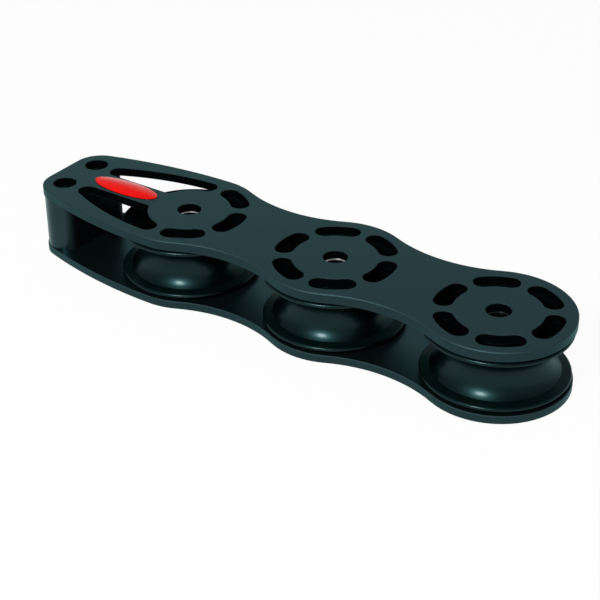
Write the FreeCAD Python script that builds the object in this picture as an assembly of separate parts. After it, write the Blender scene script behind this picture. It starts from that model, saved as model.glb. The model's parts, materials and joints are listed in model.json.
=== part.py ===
"""Rope deck organizer: three grooved sheaves in a row between two cut-out plates.

Millimetres, +Z up, +X from the nose towards the round end. The origin is on the deck
face, on the axis of the middle of the row of sheaves.
"""
import FreeCAD, Part
import math
import os

os.makedirs("parts", exist_ok=True)

Vector = FreeCAD.Vector

# The row of sheaves
sheave_count = 3
sheave_diameter = 50.0
sheave_gap = 12.5

# The two plates, which share one outline
top_plate_thickness = 3.5
bottom_plate_thickness = 3.0
plate_gap = 20.3
lobe_overhang = 0.5
waist_depth = 6.9
edge_break = 0.25

# The nose, where the plates run past the first sheave
nose_length = 59.6
nose_side_radius = 181.0
nose_corner_radius = 10.3
bolt_hole_diameter = 8.5
nose_bolt_inset = 8.35
nose_bolt_spacing = 17.9

# The ring of slots in the top plate over each sheave
slots_per_ring = 6
slot_ring_radius = 18.4
slot_width = 6.75
slot_sweep = 50.0
window_slots = (2, 3, 4)

# The two nose windows in the top plate, either side of a spine
spine_width = 11.3
window_arc_share = 1.6443
window_arc_shift = 0.5
window_tip_radius = 3.4
window_root_radius = 1.5

# The block that keeps the plates apart at the nose
spacer_inset = 0.35
spacer_depth = 16.0
spacer_corner_radius = 7.0

# The sleeve, the liner and the washers that each sheave turns on
sleeve_diameter = 13.0
sleeve_mouth_chamfer = 0.7
sleeve_seat_depth = 0.5
liner_wall = 1.95
running_clearance = 0.05
washer_thickness = 0.8
washer_width = 4.4
washer_clearance = 0.1
end_float = 0.15

# The turned sheave
lip_radius = 0.8
groove_floor_diameter = 36.6
groove_radius = 9.3
groove_half_height = 7.1
hub_boss_diameter = 26.0
web_recess = 1.0
web_recess_diameter = 41.0
web_fillet = 0.8

# The oval badge on the spine
badge_length = 28.4
badge_width = 9.1
badge_rim = 0.35
badge_dome = 0.75
badge_place = 0.493

# Sizes that follow from those above
sheave_radius = sheave_diameter / 2
pitch = sheave_diameter + sheave_gap
lobe_radius = sheave_radius + lobe_overhang
waist_half_width = lobe_radius - waist_depth
first_x = -pitch * (sheave_count - 1) / 2
sheave_axes = [first_x + pitch * i for i in range(sheave_count)]
nose_x = first_x - nose_length
nose_bolt_x = nose_x + nose_bolt_inset
badge_x = first_x - badge_place * nose_length
window_arc_radius = window_arc_share * nose_length
bolt_hole_radius = bolt_hole_diameter / 2
overall_height = bottom_plate_thickness + plate_gap + top_plate_thickness
overall_length = nose_length + pitch * (sheave_count - 1) + lobe_radius
sheave_z = bottom_plate_thickness + plate_gap / 2
sheave_height = plate_gap - 2 * (washer_thickness + end_float)
liner_bore_radius = sleeve_diameter / 2 + running_clearance
liner_radius = liner_bore_radius + liner_wall
full_turn = 360
half_turn = full_turn / 2
square_turn = full_turn / 4
same_place = 0.001


def at(x, y, radius, degrees):
    """The point at an angle on a circle in the XY plane."""
    turn = math.radians(degrees)
    return Vector(x + radius * math.cos(turn), y + radius * math.sin(turn), 0)


def arc(x, y, radius, start, end):
    """An arc in the XY plane from one angle to another, in degrees."""
    middle = (start + end) / 2
    points = [at(x, y, radius, angle) for angle in (start, middle, end)]
    return Part.Arc(*points).toShape()


def line(start, end):
    return Part.LineSegment(start, end).toShape()


def mirrored(shape):
    """The same shape on the other side of the centre line."""
    return shape.mirror(Vector(0, 0, 0), Vector(0, 1, 0))


def prism(edges, height):
    """An upright prism on a closed chain of edges."""
    return Part.Face(Part.Wire(edges)).extrude(Vector(0, 0, height))


def bore(x, y, radius, height):
    return Part.makeCylinder(radius, height, Vector(x, y, 0))


def plate_side():
    """One side of the plate's outline, from the round end to the nose face."""
    half_pitch = pitch / 2
    waist_radius = half_pitch**2 + waist_half_width**2 - lobe_radius**2
    waist_radius /= 2 * (lobe_radius - waist_half_width)
    waist_y = waist_half_width + waist_radius
    tangent = math.degrees(math.atan2(waist_y, half_pitch))
    side_y = lobe_radius - nose_side_radius
    corner_x = nose_x + nose_corner_radius
    reach = nose_side_radius - nose_corner_radius
    corner_y = side_y + math.sqrt(reach**2 - (corner_x - first_x) ** 2)
    corner_turn = math.degrees(math.atan2(corner_y - side_y, corner_x - first_x))

    edges = []
    for i in reversed(range(sheave_count)):
        x = sheave_axes[i]
        lobe_start = 0 if i == sheave_count - 1 else tangent
        lobe_end = square_turn if i == 0 else half_turn - tangent
        edges.append(arc(x, 0, lobe_radius, lobe_start, lobe_end))
        if i > 0:
            waist_end = tangent - half_turn
            edges.append(arc(x - half_pitch, waist_y, waist_radius, -tangent, waist_end))
    edges.append(arc(first_x, side_y, nose_side_radius, square_turn, corner_turn))
    edges.append(arc(corner_x, corner_y, nose_corner_radius, corner_turn, half_turn))
    return edges, corner_y


def plate_outline():
    side, corner_y = plate_side()
    nose_face = line(Vector(nose_x, corner_y, 0), Vector(nose_x, -corner_y, 0))
    other_side = [mirrored(edge) for edge in reversed(side)]
    return Part.Wire(side + [nose_face] + other_side)


def slot(x, middle):
    """A curved slot with round ends, centred at an angle on the ring around a sheave axis."""
    end_radius = slot_width / 2
    end_turn = slot_sweep / 2 - math.degrees(math.asin(end_radius / slot_ring_radius))
    first = middle - end_turn
    last = middle + end_turn
    start_cap = at(x, 0, slot_ring_radius, first)
    end_cap = at(x, 0, slot_ring_radius, last)
    return prism(
        [
            arc(x, 0, slot_ring_radius + end_radius, first, last),
            arc(end_cap.x, end_cap.y, end_radius, last, last + half_turn),
            arc(x, 0, slot_ring_radius - end_radius, last, first),
            arc(start_cap.x, start_cap.y, end_radius, first - half_turn, first),
        ],
        top_plate_thickness,
    )


def window():
    """The window on one side of the spine.

    Its edge runs round the first sheave's hub, turns in the end of what would be a slot,
    sweeps to a rounded tip at the nose and comes back along the spine.
    """
    spine_y = spine_width / 2
    end_radius = slot_width / 2
    hub_radius = slot_ring_radius - end_radius
    cap_turn = full_turn / slots_per_ring * 2 - slot_sweep / 2
    cap_turn += math.degrees(math.asin(end_radius / slot_ring_radius))
    cap = at(first_x, 0, slot_ring_radius, cap_turn)

    sweep_x = first_x - window_arc_shift
    sweep_reach = window_arc_radius - end_radius
    sweep_y = cap.y - math.sqrt(sweep_reach**2 - (cap.x - sweep_x) ** 2)
    cap_end = math.degrees(math.atan2(cap.y - sweep_y, cap.x - sweep_x))

    tip_y = spine_y + window_tip_radius
    tip_reach = window_arc_radius - window_tip_radius
    tip_x = sweep_x - math.sqrt(tip_reach**2 - (tip_y - sweep_y) ** 2)
    tip_start = math.degrees(math.atan2(tip_y - sweep_y, tip_x - sweep_x))

    root_y = spine_y + window_root_radius
    root_reach = hub_radius + window_root_radius
    root_x = first_x - math.sqrt(root_reach**2 - root_y**2)
    root_turn = math.degrees(math.atan2(root_y, root_x - first_x))

    return prism(
        [
            arc(first_x, 0, hub_radius, root_turn, cap_turn),
            arc(cap.x, cap.y, end_radius, cap_turn - half_turn, cap_end),
            arc(sweep_x, sweep_y, window_arc_radius, cap_end, tip_start),
            arc(tip_x, tip_y, window_tip_radius, tip_start, square_turn * 3),
            line(Vector(tip_x, spine_y, 0), Vector(root_x, spine_y, 0)),
            arc(root_x, root_y, window_root_radius, square_turn * 3, root_turn + half_turn),
        ],
        top_plate_thickness,
    )


def top_openings():
    """What the top plate has cut out of it besides the bolt holes."""
    near_window = window()
    openings = [near_window, mirrored(near_window)]
    for i, x in enumerate(sheave_axes):
        for k in range(slots_per_ring):
            if i > 0 or k not in window_slots:
                openings.append(slot(x, full_turn / slots_per_ring * k))
    return openings


def nose_bolt_holes(height):
    half = nose_bolt_spacing / 2
    return [bore(nose_bolt_x, side * half, bolt_hole_radius, height) for side in (-1, 1)]


def plate(thickness, openings):
    """A plate on z = 0 with its inner face up: the sleeves' seats in it, every edge broken."""
    cuts = openings + nose_bolt_holes(thickness)
    cuts += [bore(x, 0, bolt_hole_radius, thickness) for x in sheave_axes]
    blank = Part.Face(plate_outline()).extrude(Vector(0, 0, thickness))
    cut_plate = blank.cut(cuts)
    rims = [edge for edge in cut_plate.Edges if edge.BoundBox.ZLength < same_place]
    broken = cut_plate.makeChamfer(edge_break, rims)

    seat_z = thickness - sleeve_seat_depth
    seats = [bore(x, 0, sleeve_diameter / 2, thickness) for x in sheave_axes]
    seats = [seat.translated(Vector(0, 0, seat_z)) for seat in seats]
    return broken.cut(seats)


def nose_spacer():
    """The block in the nose, which keeps the plates apart and follows their outline."""
    outline = Part.Face(plate_outline())
    inset = outline.makeOffset2D(-spacer_inset)
    block = Part.Face(inset.OuterWire).extrude(Vector(0, 0, plate_gap))
    inner_face = nose_x + spacer_depth
    beyond = Part.makeBox(
        2 * overall_length,
        4 * lobe_radius,
        plate_gap,
        Vector(inner_face, -2 * lobe_radius, 0),
    )
    block = block.cut(beyond)
    corners = [edge for edge in block.Edges if is_upright_at(edge, inner_face)]
    block = block.makeFillet(spacer_corner_radius, corners)
    block = block.cut(nose_bolt_holes(plate_gap))
    return block.translated(Vector(0, 0, bottom_plate_thickness))


def is_upright_at(edge, x):
    """Whether an edge is vertical and lies on the plane at x."""
    box = edge.BoundBox
    upright = box.XLength < same_place and box.YLength < same_place
    return upright and abs(box.XMin - x) < same_place


def revolved(edges, x):
    """A solid turned about a sheave axis from a section in the XZ plane, z = 0 at mid height."""
    section = Part.Face(Part.Wire(edges))
    solid = section.revolve(Vector(0, 0, 0), Vector(0, 0, 1), full_turn)
    return solid.translated(Vector(x, 0, sheave_z))


def section_arc(r, z, radius, start, end):
    """An arc of a turned section, at radius r and height z from its own centre."""
    turns = [math.radians(angle) for angle in (start, (start + end) / 2, end)]
    points = [Vector(r + radius * math.cos(t), 0, z + radius * math.sin(t)) for t in turns]
    return Part.Arc(*points).toShape()


def chain(points):
    """Straight edges through points given as radius and height."""
    corners = [Vector(r, 0, z) for r, z in points]
    return [line(a, b) for a, b in zip(corners, corners[1:])]


def flipped(edges):
    """The lower half of a turned section from its upper half."""
    return [edge.mirror(Vector(0, 0, 0), Vector(0, 0, 1)) for edge in reversed(edges)]


def sheave(x):
    """The grooved wheel: hub boss, thinned web, round lips and a rope groove.

    The groove's floor is an arc. It ends in a crease, and a flatter flank runs from there
    to the lip, which it meets smoothly.
    """
    face = sheave_height / 2
    lip_r = sheave_radius - lip_radius
    lip_z = face - lip_radius
    groove_r = groove_floor_diameter / 2 + groove_radius
    crease = math.asin(groove_half_height / groove_radius)
    crease_r = groove_r - groove_radius * math.cos(crease)
    run = lip_r - crease_r
    rise = lip_z - groove_half_height
    slope = math.atan2(rise, run) - math.asin(lip_radius / math.hypot(run, rise))
    flank_r = lip_r + lip_radius * math.sin(slope)
    flank_z = lip_z - lip_radius * math.cos(slope)
    lip_end = math.degrees(slope) - square_turn
    groove_start = half_turn - math.degrees(crease)

    boss_r = hub_boss_diameter / 2
    rim_r = web_recess_diameter / 2
    web_z = face - web_recess
    shoulder_r = boss_r - web_fillet
    shoulder_z = face - web_fillet
    upper = chain([(liner_radius, 0), (liner_radius, face), (shoulder_r, face)])
    upper.append(section_arc(shoulder_r, shoulder_z, web_fillet, square_turn, 0))
    upper += chain([(boss_r, shoulder_z), (boss_r, web_z), (rim_r, web_z)])
    upper += chain([(rim_r, web_z), (rim_r, face), (lip_r, face)])
    upper.append(section_arc(lip_r, lip_z, lip_radius, square_turn, lip_end))
    upper += chain([(flank_r, flank_z), (crease_r, groove_half_height)])
    upper.append(section_arc(groove_r, 0, groove_radius, groove_start, half_turn))
    return revolved(upper + flipped(upper), x)


def bearing_liner(x):
    """The plain bush pressed into the sheave."""
    half = sheave_height / 2
    corners = [(liner_bore_radius, -half), (liner_radius, -half), (liner_radius, half)]
    corners += [(liner_bore_radius, half), (liner_bore_radius, -half)]
    return revolved(chain(corners), x)


def hub_sleeve(x):
    """The tube round the deck bolt: seated in both plates, chamfered at its mouths."""
    half = plate_gap / 2 + sleeve_seat_depth
    outer = sleeve_diameter / 2
    inner = bolt_hole_radius
    mouth = inner + sleeve_mouth_chamfer
    corners = [(inner, sleeve_mouth_chamfer - half), (mouth, -half), (outer, -half)]
    corners += [(outer, half), (mouth, half), (inner, half - sleeve_mouth_chamfer)]
    corners.append(corners[0])
    return revolved(chain(corners), x)


def thrust_washer(x, side):
    """The thin washer between a plate and the sheave's hub, above or below it."""
    inner = sleeve_diameter / 2 + washer_clearance
    outer = inner + washer_width
    outside = side * plate_gap / 2
    inside = outside - side * washer_thickness
    corners = [(inner, inside), (outer, inside), (outer, outside), (inner, outside)]
    corners.append(corners[0])
    return revolved(chain(corners), x)


def badge():
    """The domed oval stuck on the spine: a thin rim with a low dome, squeezed from a round one."""
    half = badge_length / 2
    dome_radius = (half**2 + badge_dome**2) / (2 * badge_dome)
    edges = chain([(0, 0), (half, 0), (half, badge_rim)])
    dome_z = badge_rim + badge_dome - dome_radius
    edge_turn = math.degrees(math.asin((badge_rim - dome_z) / dome_radius))
    edges.append(section_arc(0, dome_z, dome_radius, edge_turn, square_turn))
    edges += chain([(0, badge_rim + badge_dome), (0, 0)])
    section = Part.Face(Part.Wire(edges))
    round_badge = section.revolve(Vector(0, 0, 0), Vector(0, 0, 1), full_turn)
    squeeze = FreeCAD.Matrix()
    squeeze.scale(1, badge_width / badge_length, 1)
    oval = round_badge.transformGeometry(squeeze)
    return oval.translated(Vector(badge_x, 0, overall_height))


def save(shape, name):
    solids = shape.Solids
    solid = solids[0] if len(solids) == 1 else Part.makeCompound(solids)
    solid.exportStep("parts/" + name + ".step")


top_plate = plate(top_plate_thickness, top_openings())
top_plate = top_plate.mirror(Vector(0, 0, overall_height / 2), Vector(0, 0, 1))
save(top_plate, "top_plate")
save(plate(bottom_plate_thickness, []), "bottom_plate")
save(nose_spacer(), "nose_spacer")
save(badge(), "badge")
for number, axis_x in enumerate(sheave_axes, start=1):
    save(sheave(axis_x), f"sheave_{number}")
    save(bearing_liner(axis_x), f"bearing_liner_{number}")
    save(hub_sleeve(axis_x), f"hub_sleeve_{number}")
    save(thrust_washer(axis_x, 1), f"upper_washer_{number}")
    save(thrust_washer(axis_x, -1), f"lower_washer_{number}")
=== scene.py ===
"""Looks for the rope deck organizer: dark anodised plates, glossy black sheaves, bare red badge."""

import json
import math

import bpy
from mathutils import Matrix, Vector


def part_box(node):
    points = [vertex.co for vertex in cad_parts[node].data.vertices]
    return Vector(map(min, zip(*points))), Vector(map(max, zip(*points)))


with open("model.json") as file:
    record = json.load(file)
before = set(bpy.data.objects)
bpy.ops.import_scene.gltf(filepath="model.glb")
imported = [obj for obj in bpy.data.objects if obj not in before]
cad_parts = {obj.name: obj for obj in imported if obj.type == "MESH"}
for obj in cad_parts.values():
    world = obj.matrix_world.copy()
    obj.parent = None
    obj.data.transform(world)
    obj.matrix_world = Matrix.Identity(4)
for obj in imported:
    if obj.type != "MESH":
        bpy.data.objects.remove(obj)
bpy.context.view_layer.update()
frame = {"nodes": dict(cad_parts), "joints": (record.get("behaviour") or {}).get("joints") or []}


# The view is the photograph's: a long lens looking down along the row from the near round end.
# It is aimed from the top of the middle sheave, in steps of the distance between two sheaves.
sheave_pitch = frame["joints"][1]["pos_m"][0] - frame["joints"][0]["pos_m"][0]
plate_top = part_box("top_plate")[1].z

view_azimuth = math.radians(34.3763)
view_elevation = math.radians(31.0725)
view_roll = math.radians(-0.3045)
view_distance = 8.10678 * sheave_pitch
view_target = Vector((0.09771 * sheave_pitch, -0.48548 * sheave_pitch, plate_top))

view_back = Vector((
    math.sin(view_azimuth) * math.cos(view_elevation),
    -math.cos(view_azimuth) * math.cos(view_elevation),
    math.sin(view_elevation),
))
level_right = Vector((math.cos(view_azimuth), math.sin(view_azimuth), 0.0))
level_up = view_back.cross(level_right)
view_right = level_right * math.cos(view_roll) + level_up * math.sin(view_roll)
view_up = level_up * math.cos(view_roll) - level_right * math.sin(view_roll)

camera = bpy.data.objects.new("camera", bpy.data.cameras.new("camera"))
camera.data.sensor_width = 36.0
camera.data.lens = 93.871
camera.data.clip_start = 0.01
camera.data.clip_end = 20.0
camera.matrix_world = Matrix((
    (view_right.x, view_up.x, view_back.x, 0.0),
    (view_right.y, view_up.y, view_back.y, 0.0),
    (view_right.z, view_up.z, view_back.z, 0.0),
    (0.0, 0.0, 0.0, 1.0),
))
camera.matrix_world.translation = view_target + view_back * view_distance
bpy.context.scene.collection.objects.link(camera)
bpy.context.scene.camera = camera
bpy.context.scene.view_settings.view_transform = "Standard"


# The two plates are cut from flat aluminium, their edges broken, and anodised a dark blue-green
# all over. Their satin faces mirror what is near, and the cut walls keep faint level tool lines.
class Value:
    """A number that varies over a surface: arithmetic on it adds Math nodes."""

    def __init__(self, finish, socket):
        self.finish = finish
        self.socket = socket

    def math(self, operation, *values):
        node = self.finish.add("ShaderNodeMath", {"operation": operation}, dict(enumerate(values)))
        return Value(self.finish, node.outputs[0])

    def __add__(self, other):
        return self.math("ADD", self, other)

    def __radd__(self, other):
        return self.math("ADD", other, self)

    def __sub__(self, other):
        return self.math("SUBTRACT", self, other)

    def __rsub__(self, other):
        return self.math("SUBTRACT", other, self)

    def __mul__(self, other):
        return self.math("MULTIPLY", self, other)

    def __rmul__(self, other):
        return self.math("MULTIPLY", other, self)

    def __abs__(self):
        return self.math("ABSOLUTE", self)

    def between(self, low, high):
        """0 up to low and 1 from high, with a smooth rise."""
        node = self.finish.add(
            "ShaderNodeMapRange",
            {"interpolation_type": "SMOOTHSTEP"},
            {"Value": self, "From Min": low, "From Max": high},
        )
        return Value(self.finish, node.outputs[0])


class Finish:
    """A material made node by node around one Principled shader."""

    def __init__(self, name, **constants):
        self.material = bpy.data.materials.new(name)
        self.material.use_nodes = True
        self.tree = self.material.node_tree
        self.shader = self.tree.nodes["Principled BSDF"]
        for socket, value in constants.items():
            self.shader.inputs[socket.replace("_", " ")].default_value = value

    def add(self, kind, settings=None, inputs=None):
        node = self.tree.nodes.new(kind)
        for name, value in (settings or {}).items():
            setattr(node, name, value)
        for name, value in (inputs or {}).items():
            self.feed(node.inputs[name], value)
        return node

    def feed(self, socket, value):
        if isinstance(value, Value):
            value = value.socket
        if isinstance(value, bpy.types.NodeSocket):
            self.tree.links.new(value, socket)
        else:
            socket.default_value = value

    def noise(self, scale, stretch=(1.0, 1.0, 1.0), detail=2.0):
        """Noise on the object's own coordinates, finer along an axis with more stretch."""
        place = self.add("ShaderNodeTexCoord").outputs["Object"]
        mapping = self.add("ShaderNodeMapping", None, {"Vector": place, "Scale": stretch})
        node = self.add(
            "ShaderNodeTexNoise",
            None,
            {"Vector": mapping.outputs[0], "Scale": scale, "Detail": detail},
        )
        return Value(self, node.outputs[0])

    def parts_of(self, coordinate):
        """The x, y and z of a point's place ("Object") or of the surface's direction ("Normal")."""
        place = self.add("ShaderNodeTexCoord").outputs[coordinate]
        split = self.add("ShaderNodeSeparateXYZ", None, {0: place})
        return [Value(self, socket) for socket in split.outputs]

    def facing_up(self, low=0.3, high=0.6):
        """1 on level faces, up or down, and 0 on upright walls."""
        return abs(self.parts_of("Normal")[2]).between(low, high)

    def mix(self, factor, first, second):
        """A colour between two colours, each one three numbers or another mix."""
        ends = [(*end, 1.0) if isinstance(end, tuple) else end for end in (first, second)]
        node = self.add("ShaderNodeMix", {"data_type": "RGBA"}, {0: factor, 6: ends[0], 7: ends[1]})
        return node.outputs[2]

    def bump(self, height, distance, strength):
        inputs = {"Height": height, "Distance": distance, "Strength": strength}
        node = self.add("ShaderNodeBump", None, inputs)
        self.shade("Normal", node.outputs[0])

    def shade(self, socket, value):
        self.feed(self.shader.inputs[socket], value)


def dress(node_name, finish):
    """Gives a CAD node its finish."""
    for slot in frame["nodes"][node_name].material_slots:
        slot.material = finish.material


anodising = Finish("plate_anodising", IOR=1.03, Specular_Tint=(0.7, 1.0, 1.0, 1.0))
on_face = anodising.facing_up(0.8, 0.95)
on_wall = 1.0 - anodising.facing_up()
on_broken_edge = 1.0 - on_face - on_wall

# The walls of the cut-outs are painted near black, a painted shade darker than the outer wall.
# They lie within a circle round each sheave's axis, or in the nose, whose sides bow in. Each pair
# is where a change starts and ends.
rim = (0.0233, 0.0237)
nose_start = (0.0, 0.001)
nose_end = (0.057, 0.0575)
nose_bow = 3.3
between_plates = (0.01, 0.011)

along, across, height = anodising.parts_of("Object")
across = abs(across)
outside_circles = 1.0
for joint in frame["joints"]:
    from_axis = along - joint["pos_m"][0]
    squared_distance = from_axis * from_axis + across * across
    outside_circles = outside_circles * squared_distance.between(rim[0] ** 2, rim[1] ** 2)
into_nose = frame["joints"][0]["pos_m"][0] - along
bowed_side = across + into_nose * into_nose * nose_bow
in_nose = into_nose.between(*nose_start) * (1.0 - into_nose.between(*nose_end))
in_nose = in_nose * (1.0 - bowed_side.between(*rim))
inside_rim = 1.0 - outside_circles * (1.0 - in_nose)
in_cut_out = on_wall * inside_rim
on_lower_plate = 1.0 - height.between(*between_plates)

cloud = anodising.noise(30.0, detail=3.0)
grain = anodising.noise(5200.0, detail=1.0)
tool_lines = anodising.noise(90.0, stretch=(1.0, 1.0, 32.0), detail=3.0)
unevenness = cloud - 0.5
wall_unevenness = (tool_lines - 0.5) * on_wall

shade_of_plate = unevenness * 0.35 + wall_unevenness * 0.8 + 0.5
# Level faces get the lighter colour; the upright walls' darker colour is painted shade.
face_colour = anodising.mix(shade_of_plate, (0.034, 0.068, 0.078), (0.039, 0.076, 0.087))
wall_colour_with_painted_shade = anodising.mix(shade_of_plate, (0.0148, 0.034, 0.0375), (0.0183, 0.0402, 0.0446))
outside_colour = anodising.mix(anodising.facing_up(0.4, 0.6), wall_colour_with_painted_shade, face_colour)
# Painted shade: near black on the walls inside the cut-outs.
cut_out_painted_shade = (0.001, 0.0015, 0.002)
anodising.shade("Base Color", anodising.mix(in_cut_out, outside_colour, cut_out_painted_shade))
anodising.shade("Metallic", 0.95 - on_wall * 0.15 - in_cut_out * 0.8)

face_roughness = 0.28
rougher_on_edge = 0.28 + inside_rim * 0.25 + on_lower_plate * 0.2
plate_roughness = face_roughness + on_wall * 0.17 + on_broken_edge * rougher_on_edge
anodising.shade("Roughness", plate_roughness + unevenness * 0.08 + wall_unevenness * 0.2)
anodising.bump(grain * 0.4 + tool_lines * on_wall, distance=0.00004, strength=0.35)

for plate_name in ("top_plate", "bottom_plate"):
    dress(plate_name, anodising)


# The nose block is milled from the same aluminium and anodised almost black. Its smooth outer
# walls catch upright streaks of light, and the wall towards the sheaves is dull and painted near
# black, as painted shade.
block_anodising = Finish("spacer_anodising", IOR=1.05, Specular_Tint=(0.85, 1.0, 1.0, 1.0))
block_cloud = block_anodising.noise(60.0)
block_lines = block_anodising.noise(70.0, stretch=(1.0, 1.0, 20.0))
towards_sheaves = block_anodising.parts_of("Normal")[0].between(0.55, 0.97)
outer_colour = block_anodising.mix(block_cloud, (0.022, 0.042, 0.046), (0.026, 0.048, 0.052))
# Painted shade: near black on the wall towards the sheaves.
inner_wall_painted_shade = (0.002, 0.003, 0.0035)
block_colour = block_anodising.mix(towards_sheaves, outer_colour, inner_wall_painted_shade)
block_anodising.shade("Base Color", block_colour)
block_anodising.shade("Metallic", 1.0 - towards_sheaves)
block_anodising.shade("Roughness", 0.34 + (block_lines - 0.5) * 0.08)
block_anodising.bump(block_lines, distance=0.00003, strength=0.3)
dress("nose_spacer", block_anodising)


# The sheaves are turned from black acetal and left glossy from the tool, with faint rings round
# each groove where it passed. Their lips are less smooth and painted a little lighter, as painted
# light, and their flat sides are duller and painted darker, as painted shade.
sheave_black = Finish(
    "sheave_plastic",
    Metallic=1.0,
    Specular_Tint=(0.55, 0.68, 0.68, 1.0),
    Coat_Roughness=0.2,
)
turned_rings = sheave_black.noise(60.0, stretch=(0.4, 0.4, 40.0), detail=3.0)
sheave_cloud = sheave_black.noise(45.0)
on_flat_side = sheave_black.facing_up(0.992, 0.999)
on_lip = sheave_black.facing_up(0.75, 0.97) * (1.0 - on_flat_side)

groove_colour = sheave_black.mix(sheave_cloud, (0.0045, 0.017, 0.0185), (0.0055, 0.0195, 0.021))
# Painted light: the lips a little lighter than the groove.
lip_painted_light_colour = (0.0065, 0.0225, 0.024)
# Painted shade: the flat sides near black.
flat_side_painted_shade = (0.002, 0.003, 0.0035)
sheave_colour = sheave_black.mix(on_lip, groove_colour, lip_painted_light_colour)
sheave_colour = sheave_black.mix(on_flat_side, sheave_colour, flat_side_painted_shade)
sheave_black.shade("Base Color", sheave_colour)

sheave_roughness = 0.36 + on_lip * 0.2 + on_flat_side * 0.3
sheave_unevenness = (turned_rings - 0.5) * 0.06 + (sheave_cloud - 0.5) * 0.04
sheave_black.shade("Roughness", sheave_roughness + sheave_unevenness)
sheave_black.shade("Coat Weight", (1.0 - on_flat_side) * 0.16)
sheave_black.bump(turned_rings, distance=0.00001, strength=0.1)

# A bush of pale bearing plastic is pressed into each sheave and runs on its sleeve. No side
# shows it, so its finish is plain.
bush_ivory = Finish("liner_plastic", Roughness=0.5)
bush_grain = bush_ivory.noise(900.0)
bush_colour = bush_ivory.mix(bush_grain, (0.5, 0.47, 0.38), (0.58, 0.55, 0.46))
bush_ivory.shade("Base Color", bush_colour)
bush_ivory.bump(bush_grain, distance=0.00001, strength=0.3)

# The sleeves are stainless tube, turned to length and bored for the deck bolts. Their bores, and
# all of the last sleeve, are painted dark as shade, so only the chamfered mouths in the first two
# holes show bright steel.
sleeve_steel = Finish("sleeve_steel", Metallic=1.0)
turned_marks = sleeve_steel.noise(50.0, stretch=(1.0, 1.0, 60.0), detail=3.0)
on_mouth = sleeve_steel.facing_up()
at_last_hole = sleeve_steel.parts_of("Object")[0].between(0.03, 0.04)
on_bright_mouth = on_mouth * (1.0 - at_last_hole)
bright_colour = sleeve_steel.mix(turned_marks, (0.75, 0.76, 0.78), (0.9, 0.91, 0.93))
# Painted shade: the bores and the last sleeve are dark.
painted_shade_steel_colour = (0.04, 0.042, 0.045)
sleeve_steel.shade("Base Color", sleeve_steel.mix(on_bright_mouth, painted_shade_steel_colour, bright_colour))
sleeve_steel.shade("Roughness", 0.2 + (1.0 - on_mouth) * 0.2 + (turned_marks - 0.5) * 0.15)
sleeve_steel.bump(turned_marks, distance=0.00001, strength=0.3)

# Thin slide washers of white bearing plastic lie over and under each sheave, round its sleeve.
# They are hidden too, and as plain as the bushes.
washer_white = Finish("washer_plastic", Roughness=0.45)
washer_grain = washer_white.noise(900.0)
washer_colour = washer_white.mix(washer_grain, (0.6, 0.59, 0.55), (0.7, 0.69, 0.65))
washer_white.shade("Base Color", washer_colour)
washer_white.bump(washer_grain, distance=0.00001, strength=0.3)

for number in (1, 2, 3):
    dress(f"sheave_{number}", sheave_black)
    dress(f"bearing_liner_{number}", bush_ivory)
    dress(f"hub_sleeve_{number}", sleeve_steel)
    dress(f"upper_washer_{number}", washer_white)
    dress(f"lower_washer_{number}", washer_white)


# The badge is a red oval dome under a clear coat, stuck on the spine between the windows. It is
# bare, and its far half has the deeper gloss.
badge_red = Finish("badge_enamel", Roughness=0.3, IOR=1.1, Coat_Roughness=0.05)
badge_cloud = badge_red.noise(120.0)
badge_colour = badge_red.mix(badge_cloud, (0.82, 0.004, 0.002), (0.88, 0.006, 0.004))
badge_red.shade("Base Color", badge_colour)
towards_far_side = badge_red.parts_of("Normal")[1].between(-0.12, 0.12)
badge_red.shade("Coat Weight", 0.25 + towards_far_side * 0.75)
dress("badge", badge_red)


# The organizer lies on a plain pale floor, just under its bottom plate. The floor stays white in
# the picture and in reflections, and keeps the soft shadow that the organizer casts.
def grey(brightness):
    return (brightness, brightness, brightness, 1.0)


floor_size = 6.0
floor_height = -0.0001
glow_share = 0.95

bpy.ops.object.select_all(action="DESELECT")
bpy.ops.mesh.primitive_plane_add(size=floor_size, location=(0.0, 0.0, floor_height))
floor = bpy.context.active_object
floor.name = "floor"

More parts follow.
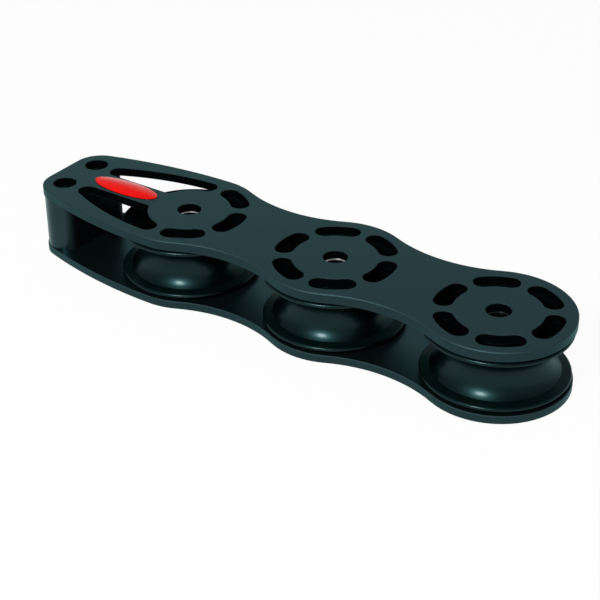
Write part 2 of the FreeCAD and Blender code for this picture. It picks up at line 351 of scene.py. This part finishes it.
floor_white = Finish(
    "floor_white",
    Base_Color=grey(0.9),
    Roughness=1.0,
    Specular_IOR_Level=0.0,
)
floor_rays = floor_white.add("ShaderNodeLightPath")
seen, mirrored, seen_through = [
    Value(floor_white, floor_rays.outputs[name])
    for name in ("Is Camera Ray", "Is Glossy Ray", "Is Transmission Ray")
]
seen = seen + mirrored + seen_through
seen = seen.math("MINIMUM", seen, 1.0)
glow = floor_white.add("ShaderNodeEmission", None, {"Color": grey(1.0), "Strength": 1.0})
floor_mix = floor_white.add(
    "ShaderNodeMixShader",
    None,
    {0: seen * glow_share, 1: floor_white.shader.outputs[0], 2: glow.outputs[0]},
)
floor_output = floor_white.tree.nodes["Material Output"]
floor_white.feed(floor_output.inputs["Surface"], floor_mix.outputs[0])
floor.data.materials.append(floor_white.material)


# The room round it is pale, near white round the horizon and dimmer overhead. It gives the plates
# and grooves their soft reflections, and is the backdrop of low views.
low_brightness = 0.95
overhead_brightness = 0.2
rings_between = ((0.08, low_brightness), (0.3, 0.5), (0.58, 0.42), (0.75, overhead_brightness))

world = bpy.data.worlds.new("studio")
world.use_nodes = True
bpy.context.scene.world = world
room = world.node_tree

direction = room.nodes.new("ShaderNodeTexCoord")
split_direction = room.nodes.new("ShaderNodeSeparateXYZ")
room.links.new(direction.outputs["Generated"], split_direction.inputs[0])
ramp = room.nodes.new("ShaderNodeValToRGB")
room.links.new(split_direction.outputs["Z"], ramp.inputs[0])
ramp.color_ramp.elements[0].color = grey(low_brightness)
ramp.color_ramp.elements[1].color = grey(overhead_brightness)
for ring_height, brightness in rings_between:
    ramp.color_ramp.elements.new(ring_height).color = grey(brightness)

backdrop = room.nodes["Background"]
room.links.new(ramp.outputs[0], backdrop.inputs["Color"])
backdrop.inputs["Strength"].default_value = 1.0


# One square softbox stands in front of the row, high up and a little over a metre away. It makes
# the bright spot in each groove.
softbox_azimuth = math.radians(-84.5)
softbox_elevation = math.radians(40.0)
softbox_distance = 1.2

softbox = bpy.data.objects.new("front_softbox", bpy.data.lights.new("front_softbox", "AREA"))
softbox.data.shape = "SQUARE"
softbox.data.size = 0.23
softbox.data.energy = 12.0
towards_softbox = Vector((
    math.cos(softbox_elevation) * math.cos(softbox_azimuth),
    math.cos(softbox_elevation) * math.sin(softbox_azimuth),
    math.sin(softbox_elevation),
))
softbox.location = towards_softbox * softbox_distance
softbox.rotation_euler = towards_softbox.to_track_quat("Z", "Y").to_euler()
bpy.context.scene.collection.objects.link(softbox)
